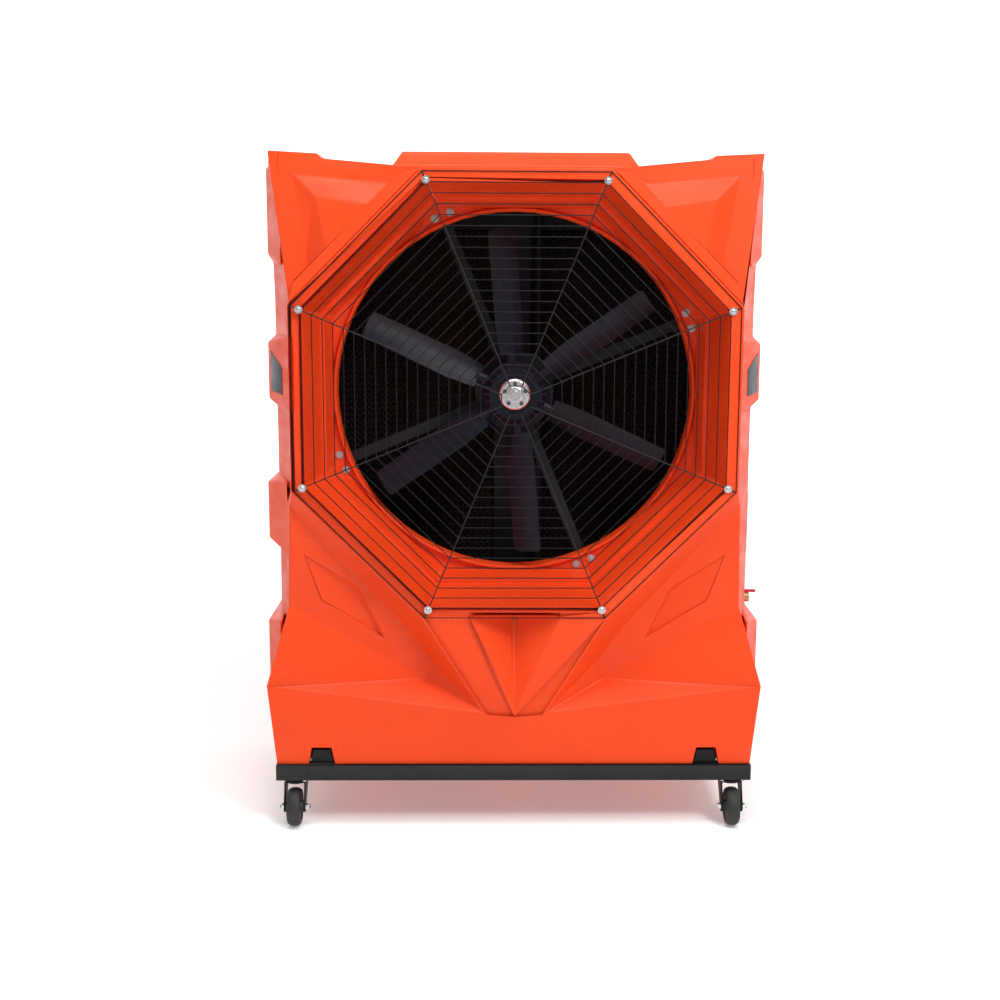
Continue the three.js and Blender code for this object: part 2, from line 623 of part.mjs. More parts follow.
// A plate of crossing bars between y0 and y1: every odd cell of the two edge lists is open.
function lattice(xs, zs, y0, y1) {
  const filled = (i, j) =>
    i >= 0 && j >= 0 && i < xs.length - 1 && j < zs.length - 1 && !(i % 2 === 1 && j % 2 === 1);
  const faces = [];
  const quad = (a, b, c, d) => faces.push(a, b, c, a, c, d);
  for (let i = 0; i < xs.length - 1; i += 1) {
    for (let j = 0; j < zs.length - 1; j += 1) {
      if (!filled(i, j)) continue;
      const [x0, x1, z0, z1] = [xs[i], xs[i + 1], zs[j], zs[j + 1]];
      quad([x0, y0, z0], [x1, y0, z0], [x1, y0, z1], [x0, y0, z1]);
      quad([x0, y1, z1], [x1, y1, z1], [x1, y1, z0], [x0, y1, z0]);
      if (!filled(i - 1, j)) quad([x0, y0, z0], [x0, y0, z1], [x0, y1, z1], [x0, y1, z0]);
      if (!filled(i + 1, j)) quad([x1, y0, z1], [x1, y0, z0], [x1, y1, z0], [x1, y1, z1]);
      if (!filled(i, j - 1)) quad([x0, y0, z0], [x0, y1, z0], [x1, y1, z0], [x1, y0, z0]);
      if (!filled(i, j + 1)) quad([x0, y1, z1], [x0, y0, z1], [x1, y0, z1], [x1, y1, z1]);
    }
  }
  const g = new THREE.BufferGeometry();
  g.setAttribute('position', new THREE.Float32BufferAttribute(faces.flat(), 3));
  return mergeVertices(g, 1e-4);
}

const makeHeader = () =>
  rod(HEADER.r, -PAD.outer, PAD.outer, 'x', 20).translate([0, HEADER.y, HEADER.z]);

// Upright pipe, elbow fitting and the short run back to the header.
function makeRiser() {
  const { x, y, r, foot } = RISER;
  return join(
    rod(r, foot, HEADER.z - 4, 'z', 12).translate([x, y, 0]),
    solid(new THREE.SphereGeometry(r + 5, 16, 10)).translate([x, y, HEADER.z]),
    rod(r, y + 3, HEADER.y - HEADER.r - GAP, 'y', 12).translate([x, 0, HEADER.z]),
  );
}

function makePump() {
  const ring = (halfX, halfY, z) =>
    [[-halfX, -halfY, z], [halfX, -halfY, z], [halfX, halfY, z], [-halfX, halfY, z]];
  const floor = BASE_Z + GAP + WALL + GAP;
  return join(
    hull(ring(62, 52, floor), ring(62, 52, floor + 14)),
    hull(ring(50, 40, floor + 13), ring(50, 40, 250), ring(40, 32, 268)),
    rod(16, 264, RISER.foot - GAP, 'z', 16),
  );
}

// ---- water inlet, drawn about the valve's own axis ----
const ARM_PIN = { x: 509, drop: 31 };
function makeInletValve() {
  return join(
    rod(13.2, 566, 638, 'x', 12),
    rod(17, 588, 611, 'x', 6),
    rod(9, 540, 570, 'x', 12),
    rod(5, 8, LEVER.lift - GAP, 'z', 10).translate([LEVER.x, 0, 0]),
  );
}

const makeLever = () => {
  const ring = (x, half) => [[x, -half, 0], [x, half, 0], [x, -half, 6], [x, half, 6]];
  return join(rod(8, 0, 6, 'z', 16), hull(ring(0, 6.5), ring(22, 7.5), ring(26, 4)));
};

function makeFloatValve() {
  const pinZ = -ARM_PIN.drop;
  return cut(
    join(box(502, 539.7, -14, 14, -16, 14), box(502, 516, -14, 14, -40, -14)),
    box(490, 520, -5, 5, -45, -22),
    rod(3.5, -20, 20, 'y', 8).translate([ARM_PIN.x, 0, pinZ]),
  );
}

// Arm hinged in the float valve's fork, drawn about its pin at the empty-tank angle.
function makeFloatArm() {
  const [reach, r, slope] = [190, 52, 42];
  const ball = solid(new THREE.SphereGeometry(r, 20, 12)).translate([-reach - r + 6, 0, 0]);
  const arm = join(rod(3, -13, 13, 'y', 8), box(-reach, 2, -3, 3, -3, 3), ball);
  return arm.rotate([0, -slope, 0]);
}

// ---- controls on the right wall ----
function makePanel() {
  const { y, z, halfY, halfZ, floorX } = PANEL;
  const block = (x0, x1, grow) =>
    box(x0, x1, y - halfY - grow, y + halfY + grow, z - halfZ - grow, z + halfZ + grow);
  return cut(join(block(floorX - 4, 624, -0.8), block(SIDE_X + GAP, 625, 9)), block(floorX, 640, -5));
}

const makeKnob = () => join(rod(19, 0, 13, 'x', 24), rod(15, 12, 19, 'x', 24), box(18, 21, -2, 2, 0, 14));

// Rocker drawn about its pivot line, lower end out.
function makeRocker() {
  const edge = (x, z) => [[x, -10, z], [x, 10, z]];
  return hull(edge(-4, -16), edge(-4, 16), edge(6, -16), edge(2, 16));
}

// ---- trims ----
const makeDrainPlug = () =>
  join(rod(11, REAR_Y - 12, REAR_Y + 2, 'y', 12), rod(18, REAR_Y + GAP, REAR_Y + 4, 'y', 20),
    rod(13, REAR_Y + 3, REAR_Y + 11, 'y', 6)).translate([0, 0, DRAIN_Z]);

const makeGland = () =>
  join(rod(8.4, REAR_Y - 14, REAR_Y + 2, 'y', 12), rod(14, REAR_Y + GAP, REAR_Y + 8, 'y', 6),
    rod(10, REAR_Y + 7, REAR_Y + 18, 'y', 16)).translate([GLAND.x, 0, GLAND.z]);

// ---- assembly ----
const SIDES = [['left', -1], ['right', 1]];

function addBody() {
  const moulding = makeMoulding();
  piece('housing', cut(moulding, withinSeam(SEAM_APOTHEM + GAP)), ORANGE);
  piece('air_nozzle', moulding.intersect(withinSeam(SEAM_APOTHEM)), ORANGE);
  piece('base_frame', makeFrame(), BLACK_PAINT);
  SIDES.forEach(([side, sx]) => piece(`hold_down_${side}`, makeHoldDown(), BLACK_PLASTIC, [sx * 500, 0, 0]));
}

function addCasters() {
  const { frontY, rearY } = CASTER;
  const corners = { fl: [-1, frontY], fr: [1, frontY], rl: [-1, rearY], rr: [1, rearY] };
  Object.entries(corners).forEach(([tag, [sx, y]]) => {
    const pivot = [sx * CASTER.x, y, FRAME.bottom];
    const axle = [sx * CASTER.x, y - CASTER.trail, CASTER.wheelR];
    piece(`caster_plate_${tag}`, makeCasterPlate(), ZINC, pivot);
    piece(`caster_fork_${tag}`, makeCasterFork(), BLACK_PAINT, pivot);
    piece(`caster_wheel_${tag}`, makeWheel(), RUBBER, axle);
    piece(`caster_axle_${tag}`, makeAxle(), STEEL, axle);
  });
}

function addGuard() {
  piece('front_guard', makeGuard(), BLACK_PAINT);
  screwPlaces().forEach(([x, z], k) => piece(`guard_screw_${k + 1}`, makeGuardScrew(), ZINC, [x, 0, z]));
}

function addFan() {
  const centre = [0, FAN.y, AXIS_Z];
  piece('hub_front', makeHubHalf(-1), BLACK_PLASTIC, centre);
  piece('hub_rear', makeHubHalf(1), BLACK_PLASTIC, centre);
  piece('hub_cap', makeHubCap(), STEEL, centre);
  piece('motor_shaft', makeShaft(), STEEL, centre);
  const blade = makeBlade();
  for (let i = 0; i < FAN.blades; i += 1) {
    piece(`fan_blade_${i + 1}`, blade.rotate([0, -bladeAngle(i), 0]), BLACK_PLASTIC, centre);
  }
  piece('motor_mount', makeMotorMount(), BLACK_PAINT);
  piece('motor_body', makeMotor(), MOTOR_GREY);
}

function addWetSide() {
  piece('pad_frame', makePadFrame(), BLACK_PLASTIC);
  SIDES.forEach(([side, sx]) => piece(`cooling_pad_${side}`, makePad(sx), PAD_BROWN));
  piece('rear_grille', makeRearGrille(), BLACK_PAINT);
  piece('water_header', makeHeader(), BLACK_PLASTIC);
  piece('riser_pipe', makeRiser(), BLACK_PLASTIC);
  piece('pump_body', makePump(), BLACK_PLASTIC, [RISER.x, RISER.y, 0]);
  const inlet = [0, INLET.y, INLET.z];
  piece('inlet_valve', makeInletValve(), BRASS, inlet);
  piece('inlet_lever', makeLever(), RED, [LEVER.x, INLET.y, INLET.z + LEVER.lift]);
  piece('float_valve', makeFloatValve(), BRASS, inlet);
  piece('float_arm', makeFloatArm(), PIPE_WHITE, [ARM_PIN.x, INLET.y, INLET.z - ARM_PIN.drop]);
  piece('drain_plug', makeDrainPlug(), BLACK_PLASTIC);
}

function addControls() {
  const at = (dy, dz, x) => [x, PANEL.y + dy, PANEL.z + dz];
  piece('control_panel', makePanel(), BLACK_PLASTIC);
  piece('speed_knob', makeKnob(), BLACK_PLASTIC, at(-34, 0, PANEL.floorX + GAP));
  piece('power_switch', makeRocker(), RED, at(20, 0, PANEL.floorX + 8.5));
  piece('pump_switch', makeRocker(), BLACK_PLASTIC, at(54, 0, PANEL.floorX + 8.5));
  piece('cable_gland', makeGland(), BLACK_PLASTIC);
}

addBody();
addCasters();
addGuard();
addFan();
addWetSide();
addControls();

const cooler = new THREE.Group();
cooler.name = 'evaporative_cooler';
meshes.forEach((mesh) => cooler.add(mesh));
const bounds = new THREE.Box3().setFromObject(cooler);
const centreY = (bounds.min.y + bounds.max.y) / 2;
meshes.forEach((mesh) => mesh.position.setY(mesh.position.y - centreY));

export default cooler;
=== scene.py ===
"""Portable evaporative cooler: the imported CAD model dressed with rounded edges, details and finishes."""

import json
import math
import random

import bmesh
import bpy
from mathutils import Matrix, Vector
from mathutils.bvhtree import BVHTree


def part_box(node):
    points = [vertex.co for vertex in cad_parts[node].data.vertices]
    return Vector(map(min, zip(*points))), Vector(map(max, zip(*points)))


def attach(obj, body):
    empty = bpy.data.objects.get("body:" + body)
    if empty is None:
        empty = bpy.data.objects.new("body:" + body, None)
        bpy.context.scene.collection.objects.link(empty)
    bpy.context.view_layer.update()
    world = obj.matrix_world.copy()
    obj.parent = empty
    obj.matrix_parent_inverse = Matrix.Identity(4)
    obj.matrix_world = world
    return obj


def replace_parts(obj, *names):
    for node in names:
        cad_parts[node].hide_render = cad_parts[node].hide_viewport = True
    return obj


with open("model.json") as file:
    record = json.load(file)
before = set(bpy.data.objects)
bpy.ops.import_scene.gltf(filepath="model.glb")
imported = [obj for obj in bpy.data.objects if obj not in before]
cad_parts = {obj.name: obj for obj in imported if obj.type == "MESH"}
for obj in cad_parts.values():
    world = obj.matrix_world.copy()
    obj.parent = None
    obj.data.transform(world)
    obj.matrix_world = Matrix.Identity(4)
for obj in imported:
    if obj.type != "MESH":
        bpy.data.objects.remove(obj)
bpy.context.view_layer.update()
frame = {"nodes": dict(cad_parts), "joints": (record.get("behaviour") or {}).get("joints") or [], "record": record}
NODES = frame["nodes"]
random.seed(7)

# ---- places taken from the frame, in metres ----
MM = 0.001
FAN_JOINT = next(j for j in frame["joints"] if j["name"] == "fan_spin")
AXIS = Vector(FAN_JOINT["pos_m"])
RIM_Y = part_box("housing")[0].y


def near(node):
    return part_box(node)[0]


def far(node):
    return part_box(node)[1]


def middle(node):
    return (near(node) + far(node)) / 2


# ---- materials ----
def shader(name, colour, roughness, metallic=0.0):
    """A new material with its principled shader, node tree and object coordinates."""
    made = bpy.data.materials.new(name)
    made.use_nodes = True
    tree = made.node_tree
    principled = tree.nodes["Principled BSDF"]
    principled.inputs["Base Color"].default_value = (*colour, 1)
    principled.inputs["Roughness"].default_value = roughness
    principled.inputs["Metallic"].default_value = metallic
    coordinates = tree.nodes.new("ShaderNodeTexCoord").outputs["Object"]
    return made, tree, principled, coordinates


def noise(tree, coordinates, scale, detail=4.0, stretch=None):
    """Noise values over the object, at a scale in features per metre."""
    if stretch:
        mapping = tree.nodes.new("ShaderNodeMapping")
        mapping.inputs["Scale"].default_value = stretch
        tree.links.new(coordinates, mapping.inputs["Vector"])
        coordinates = mapping.outputs["Vector"]
    texture = tree.nodes.new("ShaderNodeTexNoise")
    texture.inputs["Scale"].default_value = scale
    texture.inputs["Detail"].default_value = detail
    tree.links.new(coordinates, texture.inputs["Vector"])
    return texture.outputs["Fac"]


def spread(tree, value, low, high, start=0.35, end=0.65):
    """A value remapped to low..high."""
    remap = tree.nodes.new("ShaderNodeMapRange")
    for socket, number in (("From Min", start), ("From Max", end), ("To Min", low), ("To Max", high)):
        remap.inputs[socket].default_value = number
    tree.links.new(value, remap.inputs["Value"])
    return remap.outputs["Result"]


def blend_colours(tree, factor, first, second):
    """One colour going to another with a factor; either may be a socket or a plain colour."""
    mix = tree.nodes.new("ShaderNodeMix")
    mix.data_type = "RGBA"
    tree.links.new(factor, mix.inputs["Factor"])
    for socket, colour in ((mix.inputs[6], first), (mix.inputs[7], second)):
        if isinstance(colour, tuple):
            socket.default_value = (*colour, 1)
        else:
            tree.links.new(colour, socket)
    return mix.outputs[2]


def bump(tree, principled, layers):
    """Bumps laid over one another: each layer is (height socket, strength, distance in metres)."""
    normal = None
    for height, strength, distance in layers:
        node = tree.nodes.new("ShaderNodeBump")
        node.inputs["Strength"].default_value = strength
        node.inputs["Distance"].default_value = distance
        tree.links.new(height, node.inputs["Height"])
        if normal:
            tree.links.new(normal, node.inputs["Normal"])
        normal = node.outputs["Normal"]
    tree.links.new(normal, principled.inputs["Normal"])


def edges_for_wear_and_highlight(tree, low=0.52, high=0.6):
    """1 along convex edges, 0 elsewhere: the mask for real wear on paint and for the painted edge highlight on the
    shell.
    """
    geometry = tree.nodes.new("ShaderNodeNewGeometry")
    return spread(tree, geometry.outputs["Pointiness"], 0, 1, low, high)


def scaled(colour, factor):
    return tuple(min(1.0, channel * factor) for channel in colour)


def moulded_shell():
    colour = (0.83, 0.06, 0.009)
    made, tree, principled, at = shader("orange_rotomoulded", colour, 0.4)
    principled.inputs["Specular IOR Level"].default_value = 0.22
    clouds = spread(tree, noise(tree, at, 3.2, 5), 0, 1)
    specks = spread(tree, noise(tree, at, 160, 2), 0, 1, 0.3, 0.75)
    body = blend_colours(tree, clouds, scaled(colour, 0.9), (0.86, 0.068, 0.011))
    grained = blend_colours(tree, specks, scaled(colour, 0.93), body)
    # painted highlight: the shell's convex edges lightened to the orange of a lit highlight
    painted_edge_highlight = blend_colours(tree, edges_for_wear_and_highlight(tree, 0.53, 0.64), grained, (0.9, 0.1, 0.02))
    tree.links.new(painted_edge_highlight, principled.inputs["Base Color"])
    scuffs = noise(tree, at, 9, 8, (1, 1, 3))
    tree.links.new(spread(tree, scuffs, 0.38, 0.54), principled.inputs["Roughness"])
    bump(tree, principled, [
        (noise(tree, at, 420, 3), 0.28, 0.0006),
        (noise(tree, at, 2.6, 2), 0.3, 0.006),
    ])
    return made


def painted(name, colour, roughness, grain=260, wear=0.35):
    made, tree, principled, at = shader(name, colour, roughness)
    principled.inputs["Specular IOR Level"].default_value = 0.16
    dust = spread(tree, noise(tree, at, 7, 6), 0, 0.55)
    dusty = blend_colours(tree, dust, colour, scaled(colour, 2.2))
    worn = blend_colours(tree, edges_for_wear_and_highlight(tree, 0.56, 0.68), dusty, scaled((0.5, 0.48, 0.45), wear))
    tree.links.new(worn, principled.inputs["Base Color"])
    tree.links.new(spread(tree, noise(tree, at, 14, 5), roughness - 0.1, roughness + 0.12),
                   principled.inputs["Roughness"])
    bump(tree, principled, [(noise(tree, at, grain, 3), 0.25, 0.0004)])
    return made


def plastic(name, colour, roughness, grain=600, streaks=(1, 1, 1)):
    made, tree, principled, at = shader(name, colour, roughness)
    principled.inputs["Specular IOR Level"].default_value = 0.2
    tone = spread(tree, noise(tree, at, 8, 5, streaks), 0, 1)
    tree.links.new(blend_colours(tree, tone, scaled(colour, 0.75), scaled(colour, 1.35)),
                   principled.inputs["Base Color"])
    tree.links.new(spread(tree, noise(tree, at, 22, 5, streaks), roughness - 0.08, roughness + 0.1),
                   principled.inputs["Roughness"])
    bump(tree, principled, [(noise(tree, at, grain, 2), 0.22, 0.0003)])
    return made


def metal(name, colour, roughness, stretch=(1, 1, 1), grain=180):
    made, tree, principled, at = shader(name, colour, roughness, metallic=1.0)
    tarnish = spread(tree, noise(tree, at, 30, 6), 0, 1)
    tree.links.new(blend_colours(tree, tarnish, scaled(colour, 0.88), colour),
                   principled.inputs["Base Color"])
    tree.links.new(spread(tree, noise(tree, at, grain, 3, stretch), roughness - 0.08, roughness + 0.14),
                   principled.inputs["Roughness"])
    bump(tree, principled, [(noise(tree, at, grain * 3, 2, stretch), 0.15, 0.0002)])
    return made


def rubber():
    colour = (0.009, 0.01, 0.013)
    made, tree, principled, at = shader("caster_rubber", colour, 0.62)
    dust = spread(tree, noise(tree, at, 26, 6), 0, 0.7)
    tree.links.new(blend_colours(tree, dust, colour, (0.024, 0.023, 0.022)),
                   principled.inputs["Base Color"])
    bump(tree, principled, [(noise(tree, at, 500, 3), 0.4, 0.0004)])
    return made


def cellulose():
    colour = (0.016, 0.008, 0.005)
    made, tree, principled, at = shader("pad_cellulose", colour, 0.9)
    fibre = spread(tree, noise(tree, at, 240, 5, (1, 0.3, 1)), 0, 1)
    stain = spread(tree, noise(tree, at, 5, 5), 0, 1)
    paper = blend_colours(tree, fibre, scaled(colour, 0.6), scaled(colour, 1.5))
    tree.links.new(blend_colours(tree, stain, paper, (0.007, 0.004, 0.003)),
                   principled.inputs["Base Color"])
    bump(tree, principled, [(noise(tree, at, 900, 4), 0.5, 0.0004)])
    return made


FINISH = {
    "shell": moulded_shell(),
    "frame_paint": painted("black_frame_paint", (0.008, 0.009, 0.011), 0.42, wear=0.2),
    "guard_wire": painted("black_powder_coat", (0.005, 0.005, 0.006), 0.5, grain=900, wear=0.06),
    "screws": metal("zinc_screws", (0.62, 0.63, 0.64), 0.34),
    "black_plastic": plastic("black_moulded_plastic", (0.009, 0.01, 0.012), 0.45),
    "blade_plastic": plastic("black_nylon_blades", (0.005, 0.006, 0.011), 0.4, streaks=(1, 6, 1)),
    "zinc": metal("zinc_plate", (0.56, 0.57, 0.58), 0.36),
    "steel": metal("turned_steel", (0.74, 0.74, 0.75), 0.24, stretch=(1, 12, 1)),
    "wheel_rubber": rubber(),
    "motor_paint": painted("dark_motor_enamel", (0.05, 0.055, 0.06), 0.45),
    "pad_cellulose": cellulose(),
    "pipe": plastic("off_white_pipe", (0.55, 0.55, 0.52), 0.4),
    "brass": metal("plain_brass", (0.6, 0.43, 0.18), 0.32),
    "red_plastic": plastic("red_moulded_plastic", (0.5, 0.012, 0.02), 0.35),
}
SLOT_OF = {entry["node"]: entry["material_slot"] for entry in frame["record"]["subparts"]}


# ---- mesh helpers ----
def make(name, bm, slot_name, body, smooth_angle=35):
    """A finished object from a bmesh, in its slot's material and riding on a CAD body."""
    bmesh.ops.recalc_face_normals(bm, faces=bm.faces)
    mesh = bpy.data.meshes.new(name)
    bm.to_mesh(mesh)
    bm.free()
    mesh.materials.append(FINISH[slot_name])
    for polygon in mesh.polygons:
        polygon.use_smooth = True
    mesh.set_sharp_from_angle(angle=math.radians(smooth_angle))
    made = bpy.data.objects.new(name, mesh)
    bpy.context.scene.collection.objects.link(made)
    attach(made, body)
    return made


def turned(bm, profile, matrix, segments=24):
    """A turned solid: profile is (radius, height) from the axis out and back to the axis, about local Z."""
    rings = []
    for radius, height in profile:
        if radius == 0:
            rings.append([bm.verts.new(matrix @ Vector((0, 0, height)))])
            continue
        angles = [2 * math.pi * k / segments for k in range(segments)]
        rings.append([bm.verts.new(matrix @ Vector((radius * math.cos(a), radius * math.sin(a), height)))
                      for a in angles])
    for low, high in zip(rings, rings[1:]):
        for k in range(segments):
            n = (k + 1) % segments
            corners = [low[k % len(low)], low[n % len(low)], high[n % len(high)], high[k % len(high)]]
            unique = list(dict.fromkeys(corners))
            if len(unique) > 2:
                bm.faces.new(unique)


def swept(bm, points, radius, sides=8, closed=False):
    """A round bar along points, mitred at its corners."""
    points = [Vector(p) for p in points]
    count = len(points)
    rings = []
    for i, point in enumerate(points):
        before = points[i - 1] if closed or i else point
        after = points[(i + 1) % count] if closed or i + 1 < count else point
        arriving = (point - before).normalized() if point != before else (after - point).normalized()
        leaving = (after - point).normalized() if after != point else arriving
        along = (arriving + leaving).normalized()
        aside = along.cross(Vector((0, 1, 0)))
        aside = (aside if aside.length > 0.1 else along.cross(Vector((1, 0, 0)))).normalized()
        across = aside.cross(along)
        mitre = 1 / max(0.4, along.dot(arriving))
        rings.append([bm.verts.new(point + radius * (aside * math.cos(a) * mitre + across * math.sin(a)))
                      for a in (2 * math.pi * k / sides for k in range(sides))])
    pairs = list(zip(rings, rings[1:])) + ([(rings[-1], rings[0])] if closed else [])
    for one, two in pairs:
        for k in range(sides):
            n = (k + 1) % sides
            bm.faces.new((one[k], one[n], two[n], two[k]))
    if not closed:
        bm.faces.new(rings[0])
        bm.faces.new(rings[-1])


def block(bm, low, high, matrix=Matrix.Identity(4), round_off=0.0):
    """A box between two corners, its edges rounded off."""
    made = bmesh.ops.create_cube(bm, size=1)
    size = Vector(high) - Vector(low)
    centre = (Vector(high) + Vector(low)) / 2
    bmesh.ops.transform(bm, matrix=matrix @ Matrix.Translation(centre) @ Matrix.Diagonal((*size, 1)),
                        verts=made["verts"])
    if round_off:
        edges = list({e for v in made["verts"] for e in v.link_edges})
        bmesh.ops.bevel(bm, geom=edges, offset=round_off, segments=2, profile=0.5, affect="EDGES")


def facing(point, direction):
    """A frame at a point whose local Z looks along a direction."""
    return Matrix.Translation(point) @ Vector(direction).to_track_quat("Z", "Y").to_matrix().to_4x4()


def washer_under(bm, at, inner, outer, seat, segments):
    turned(bm, [(0, 0), (inner, 0), (outer, seat * 0.5), (inner, seat), (0, seat)], at, segments)


def hex_bolt(bm, point, direction, size, washer=True):
    """Hexagon head with a chamfered crown on a plain washer; size is the head's corner radius."""
    at = facing(point, direction)
    seat = size * 0.22 if washer else 0
    if washer:
        washer_under(bm, at, size * 1.45, size * 1.5, seat, 20)
    top = seat + size * 0.75
    low = seat * 0.9
    turned(bm, [(0, low), (size, low), (size, top - size * 0.12), (size * 0.86, top), (0, top)], at, 6)


def dome_bolt(bm, point, direction, size, washer=True):
    """Domed head with a driven recess on a washer."""
    at = facing(point, direction)
    seat = size * 0.2 if washer else 0
    if washer:
        washer_under(bm, at, size * 1.5, size * 1.55, seat, 24)
    crown = [(size * math.cos(a), seat + size * 0.55 * math.sin(a)) for a in (0, 0.5, 0.9, 1.2)]
    recess = [(size * 0.3, crown[-1][1]), (size * 0.26, seat + size * 0.25), (0, seat + size * 0.2)]
    turned(bm, [(0, seat * 0.9), (size, seat * 0.9), *crown, *recess], at, 16)


def soften(node, width, segments=2, angle=28, smooth=40):
    """Rounds a CAD node's edges with modifiers; its own mesh stays as packed."""
    piece = NODES[node]
    weld = piece.modifiers.new("weld", "WELD")
    weld.merge_threshold = 0.00004
    flat = piece.modifiers.new("flat", "DECIMATE")
    flat.decimate_type = "DISSOLVE"
    flat.angle_limit = math.radians(1)
    bevel = piece.modifiers.new("round", "BEVEL")
    bevel.width = width
    bevel.segments = segments
    bevel.limit_method = "ANGLE"
    bevel.angle_limit = math.radians(angle)
    bevel.use_clamp_overlap = True
    bevel.harden_normals = False
    for polygon in piece.data.polygons:
        polygon.use_smooth = True
    normals = piece.modifiers.new("normals", "WEIGHTED_NORMAL")
    normals.keep_sharp = False
    normals.weight = 60


def dress_nodes():
    """Every CAD node gets its slot's finish."""
    for name, piece in NODES.items():
        piece.data.materials.clear()
        piece.data.materials.append(FINISH[SLOT_OF[name]])


def octagon(apothem, y):
    """Corners of an upright octagon about the fan axis, by its apothem."""
    reach = apothem / math.cos(math.pi / 8)
    angles = [math.radians(22.5 + 45 * k) for k in range(8)]
    return [Vector((AXIS.x + reach * math.cos(a), y, AXIS.z + reach * math.sin(a))) for a in angles]


# ---- housing ----
SEAM = (540.9 * MM, 541.4 * MM)  # apothems of the cut between the body and the nozzle


def apothem_of(point):
    """How far a point is from the fan axis, measured square to the octagon's flats."""
    away = [(point.x - AXIS.x) * math.cos(a) + (point.z - AXIS.z) * math.sin(a)
            for a in (math.radians(45 * k) for k in range(8))]
    return max(away)


def rounded_shell():
    """The moulded shell, its two CAD halves closed into one, with the soft edges of rotomoulding."""
    bm = bmesh.new()
    for node in ("housing", "air_nozzle"):
        bm.from_mesh(NODES[node].data)
    bmesh.ops.remove_doubles(bm, verts=bm.verts, dist=0.00002)
    seam = [f for f in bm.faces if all(SEAM[0] < apothem_of(v.co) < SEAM[1] for v in f.verts)
            and abs(f.normal.y) < 0.2]
    bmesh.ops.delete(bm, geom=seam, context="FACES_ONLY")
    bmesh.ops.remove_doubles(bm, verts=bm.verts, dist=0.0004)
    bmesh.ops.dissolve_degenerate(bm, edges=bm.edges, dist=0.0003)
    bmesh.ops.dissolve_limit(bm, angle_limit=math.radians(0.8), verts=bm.verts, edges=bm.edges)
    for width, low, high in ((0.0045, 12, 75), (0.003, 75, 150)):
        edges = [e for e in bm.edges if len(e.link_faces) == 2 and e.calc_length() > 0.012
                 and math.radians(low) < e.calc_face_angle(0) <= math.radians(high)]
        bmesh.ops.bevel(bm, geom=edges, offset=width, segments=3, profile=0.5, affect="EDGES",
                        clamp_overlap=False)
        bmesh.ops.remove_doubles(bm, verts=bm.verts, dist=0.0002)
    low, high = near("housing"), far("housing")
    for vertex in bm.verts:
        vertex.co = Vector([min(high[i], max(low[i], vertex.co[i])) for i in range(3)])
    surface = BVHTree.FromBMesh(bm)
    shell = make("moulded_shell", bm, "shell", "cabinet", smooth_angle=50)
    normals = shell.modifiers.new("normals", "WEIGHTED_NORMAL")
    normals.keep_sharp = True
    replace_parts(shell, "housing", "air_nozzle")
    return surface


PLATE = ((630, 1232), (590, 1194), (590, 1126), (630, 1130))  # corners across and up, in millimetres


def side_plates(surface):
    """A plain dark plate on the sloped front of each middle side block."""
    for side, sx in (("left", -1), ("right", 1)):
        bm = bmesh.new()
        for x, z in PLATE:
            place, normal, _, _ = surface.ray_cast(Vector((sx * x * MM, -1, z * MM)), Vector((0, 1, 0)))
            for lift in (-0.5 * MM, 1.6 * MM):
                bm.verts.new(place + normal * lift)
        bmesh.ops.convex_hull(bm, input=bm.verts)
        bmesh.ops.dissolve_limit(bm, angle_limit=math.radians(4), verts=bm.verts, edges=bm.edges)
        bmesh.ops.bevel(bm, geom=bm.edges, offset=0.5 * MM, segments=2, profile=0.5, affect="EDGES")
        make(f"plain_plate_{side}", bm, "motor_paint", "cabinet")


# ---- wire guard ----
GUARD_RINGS = 21
FIRST_RING = 36 * MM
RING_PITCH = 25.95 * MM
WIRE_R = 1.25 * MM


def wire_guard():
    """Welded octagonal wires on eight spokes, with an eyelet at each screw."""
    centre_y = (near("front_guard").y + far("front_guard").y) / 2
    bm = bmesh.new()
    for k in range(GUARD_RINGS):
        swept(bm, octagon(FIRST_RING + RING_PITCH * k, centre_y), WIRE_R, 8, closed=True)
    rings_end = FIRST_RING + RING_PITCH * (GUARD_RINGS - 1)
    for inner, outer in zip(octagon(FIRST_RING, centre_y), octagon(rings_end, centre_y)):
        swept(bm, [inner, outer], WIRE_R * 1.25, 8)
    for k in range(8):
        screw = middle(f"guard_screw_{k + 1}")
        turned(bm, [(3.7 * MM, 0), (9 * MM, 0), (9 * MM, 2 * MM), (3.7 * MM, 2 * MM), (3.7 * MM, 0)],
               facing(Vector((screw.x, near("front_guard").y + 2.4 * MM, screw.z)), (0, -1, 0)), 20)
    guard = make("welded_wire_guard", bm, "guard_wire", "cabinet")
    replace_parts(guard, "front_guard")


# ---- pads ----
SHEET_PITCH = 9 * MM
FLUTE = 18 * MM
PAPER = 0.5 * MM


